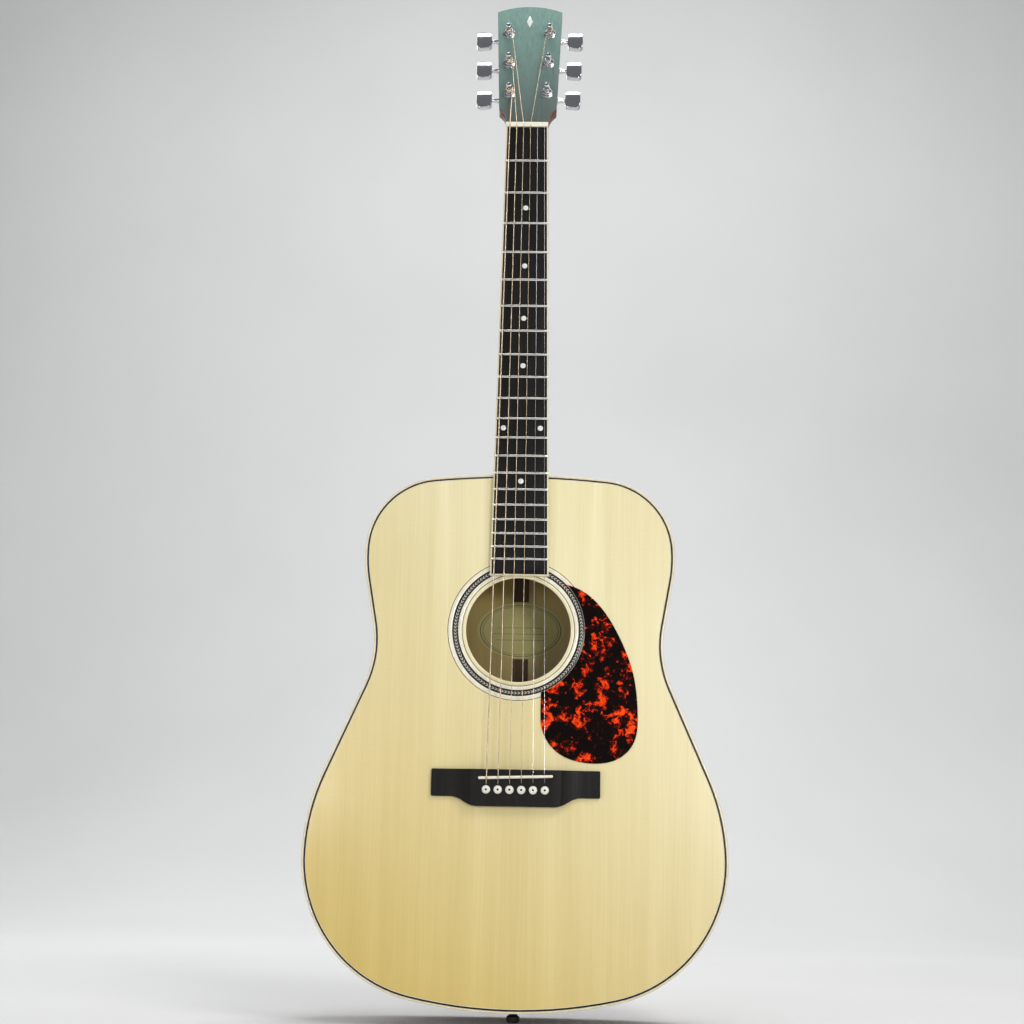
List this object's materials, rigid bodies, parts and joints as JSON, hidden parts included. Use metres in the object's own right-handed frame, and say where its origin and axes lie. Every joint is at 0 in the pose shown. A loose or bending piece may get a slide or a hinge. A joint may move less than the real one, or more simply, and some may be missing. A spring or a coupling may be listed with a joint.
{
  "type": "acoustic guitar",
  "caption": "Flat-top steel-string acoustic guitar with a round sound hole, pickguard, pinned bridge, bound fingerboard and geared tuning machines on a tilted headstock",
  "frame": {"origin": "the tail end of the body on its centre line, half way through its depth, where the body rests when it stands upright", "axes": "+X is to the right seen from the front, +Z runs from the tail up the neck to the headstock, and the soundboard faces -Y; the soundboard's face is the plane y = -0.0605"},
  "size_m": [0.3968, 0.1342, 1.0333],
  "materials": {
    "spruce": "gloss lacquer over pale straight grain",
    "body_wood": "gloss lacquer over red-brown wood",
    "neck_wood": "satin lacquer over red-brown wood",
    "inner_wood": "bare sanded wood",
    "pale_trim": "gloss lacquer over pale maple",
    "dark_trim": "gloss lacquer over dark wood",
    "rope_trim": "slanted black and white chips under lacquer",
    "ebony": "oiled near-black wood",
    "headplate": "dark veneer under thick lacquer",
    "bone": "polished bone",
    "pearl": "polished pearl shell",
    "ivory_plastic": "polished",
    "black_plastic": "polished",
    "tortoise": "polished, mottled red and black",
    "label_paper": "matt printed paper",
    "chrome": "polished plating",
    "gear_steel": "turned",
    "fret_wire": "polished nickel silver",
    "wound_wire": "fine bronze winding",
    "plain_wire": "drawn wire"
  },
  "bodies": {
    "guitar": {"soundboard": "spruce", "back_plate": "body_wood", "back_inlay_strip": "rope_trim", "bass_side": "body_wood", "treble_side": "body_wood", "tail_graft": "pale_trim", "top_binding": "pale_trim", "top_purfling": "dark_trim", "back_binding": "pale_trim", "neck_block": "neck_wood", "tail_block": "neck_wood", "top_linings": "inner_wood", "back_linings": "inner_wood", "x_braces": "inner_wood", "transverse_brace": "inner_wood", "small_braces": "inner_wood", "bridge_plate": "pale_trim", "back_braces": "inner_wood", "back_seam_strips": "inner_wood", "label": "label_paper", "rosette_lines": "dark_trim", "rosette_bands": "pale_trim", "rosette_rope": "rope_trim", "pickguard": "tortoise", "bridge": "ebony", "saddle": "bone", "bridge_pins": "ivory_plastic", "frets": "fret_wire", "position_dots": "pearl", "fingerboard": "ebony", "fingerboard_binding": "pale_trim", "nut": "bone", "neck": "neck_wood", "heel_cap": "pale_trim", "truss_rod": "gear_steel", "headstock_inlay": "pearl", "headplate": "headplate", "tuner_housings": "chrome", "tuner_bushings": "chrome", "tuner_screws": "chrome", "end_pin": "black_plastic", "string_low_e": "wound_wire", "string_a": "wound_wire", "string_d": "wound_wire", "string_g": "wound_wire", "string_b": "plain_wire", "string_high_e": "plain_wire"},
    "key_low_e": {"tuner_key_low_e": "chrome"},
    "post_low_e": {"string_post_low_e": "chrome"},
    "key_a": {"tuner_key_a": "chrome"},
    "post_a": {"string_post_a": "chrome"},
    "key_d": {"tuner_key_d": "chrome"},
    "post_d": {"string_post_d": "chrome"},
    "key_g": {"tuner_key_g": "chrome"},
    "post_g": {"string_post_g": "chrome"},
    "key_b": {"tuner_key_b": "chrome"},
    "post_b": {"string_post_b": "chrome"},
    "key_high_e": {"tuner_key_high_e": "chrome"},
    "post_high_e": {"string_post_high_e": "chrome"},
    "truss_nut": {"truss_rod_nut": "gear_steel"}
  },
  "joints": [
    {"name": "key_low_e_turn", "type": "hinge", "parent": "guitar", "child": "key_low_e", "pos_m": [-0.0192, -0.03064, 0.90932], "axis": [-1, 0, 0], "continuous": true},
    {"name": "post_low_e_turn", "type": "hinge", "parent": "guitar", "child": "post_low_e", "pos_m": [-0.0192, -0.05222, 0.90682], "axis": [0, -0.9659, 0.2588], "continuous": true},
    {"name": "key_a_turn", "type": "hinge", "parent": "guitar", "child": "key_a", "pos_m": [-0.0203, -0.02041, 0.94747], "axis": [-1, 0, 0], "continuous": true},
    {"name": "post_a_turn", "type": "hinge", "parent": "guitar", "child": "post_a", "pos_m": [-0.0203, -0.04199, 0.94497], "axis": [0, -0.9659, 0.2588], "continuous": true},
    {"name": "key_d_turn", "type": "hinge", "parent": "guitar", "child": "key_d", "pos_m": [-0.0214, -0.01011, 0.98592], "axis": [-1, 0, 0], "continuous": true},
    {"name": "post_d_turn", "type": "hinge", "parent": "guitar", "child": "post_d", "pos_m": [-0.0214, -0.03169, 0.98342], "axis": [0, -0.9659, 0.2588], "continuous": true},
    {"name": "key_g_turn", "type": "hinge", "parent": "guitar", "child": "key_g", "pos_m": [0.0214, -0.01011, 0.98592], "axis": [1, 0, 0], "continuous": true},
    {"name": "post_g_turn", "type": "hinge", "parent": "guitar", "child": "post_g", "pos_m": [0.0214, -0.03169, 0.98342], "axis": [0, -0.9659, 0.2588], "continuous": true},
    {"name": "key_b_turn", "type": "hinge", "parent": "guitar", "child": "key_b", "pos_m": [0.0203, -0.02041, 0.94747], "axis": [1, 0, 0], "continuous": true},
    {"name": "post_b_turn", "type": "hinge", "parent": "guitar", "child": "post_b", "pos_m": [0.0203, -0.04199, 0.94497], "axis": [0, -0.9659, 0.2588], "continuous": true},
    {"name": "key_high_e_turn", "type": "hinge", "parent": "guitar", "child": "key_high_e", "pos_m": [0.0192, -0.03064, 0.90932], "axis": [1, 0, 0], "continuous": true},
    {"name": "post_high_e_turn", "type": "hinge", "parent": "guitar", "child": "post_high_e", "pos_m": [0.0192, -0.05222, 0.90682], "axis": [0, -0.9659, 0.2588], "continuous": true},
    {"name": "truss_nut_turn", "type": "hinge", "parent": "guitar", "child": "truss_nut", "pos_m": [0, -0.0535, 0.455], "axis": [0, 0, 1], "range_deg": [-180, 180]}
  ],
  "couplings": [
    {"joint": "post_low_e_turn", "follows": "key_low_e_turn", "ratio": -0.055556},
    {"joint": "post_a_turn", "follows": "key_a_turn", "ratio": -0.055556},
    {"joint": "post_d_turn", "follows": "key_d_turn", "ratio": -0.055556},
    {"joint": "post_g_turn", "follows": "key_g_turn", "ratio": 0.055556},
    {"joint": "post_b_turn", "follows": "key_b_turn", "ratio": 0.055556},
    {"joint": "post_high_e_turn", "follows": "key_high_e_turn", "ratio": 0.055556}
  ]
}
